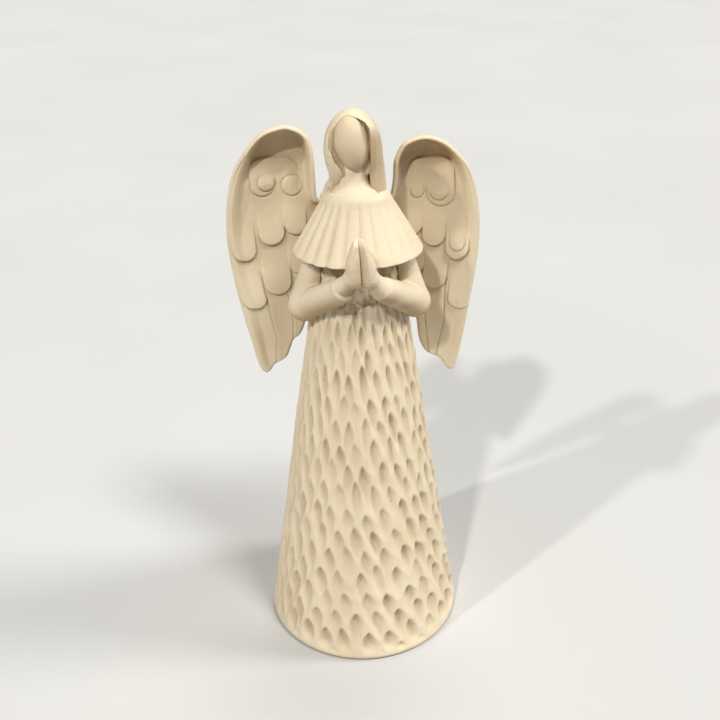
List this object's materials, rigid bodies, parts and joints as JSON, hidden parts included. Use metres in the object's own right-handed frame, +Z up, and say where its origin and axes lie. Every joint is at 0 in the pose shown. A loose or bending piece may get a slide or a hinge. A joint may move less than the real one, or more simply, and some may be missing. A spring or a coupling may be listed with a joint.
{
  "type": "angel figurine",
  "caption": "Free-standing cast-resin figurine of a praying winged figure in a long carved gown and short pleated cape, with a plain oval face.",
  "frame": {"origin": "middle of the felt's underside, on the surface the figurine stands on", "axes": "+Z up, the figure faces -Y, its own left side is +X"},
  "size_m": [0.1338, 0.1134, 0.2999],
  "materials": {
    "ivory_resin": "matt ivory cast resin with a light warm stain in the hollows",
    "pin_steel": "plain drawn steel wire",
    "felt": "thin pressed felt"
  },
  "bodies": {
    "root": {"gown": "ivory_resin", "base_plug": "ivory_resin", "felt_pad": "felt", "bodice": "ivory_resin", "cape": "ivory_resin", "neck": "ivory_resin", "head": "ivory_resin", "hair": "ivory_resin", "arm_left": "ivory_resin", "arm_right": "ivory_resin", "hand_left": "ivory_resin", "hand_right": "ivory_resin", "wing_left": "ivory_resin", "wing_right": "ivory_resin", "neck_pin": "pin_steel", "shoulder_pins": "pin_steel", "wing_pins": "pin_steel"}
  },
  "joints": []
}
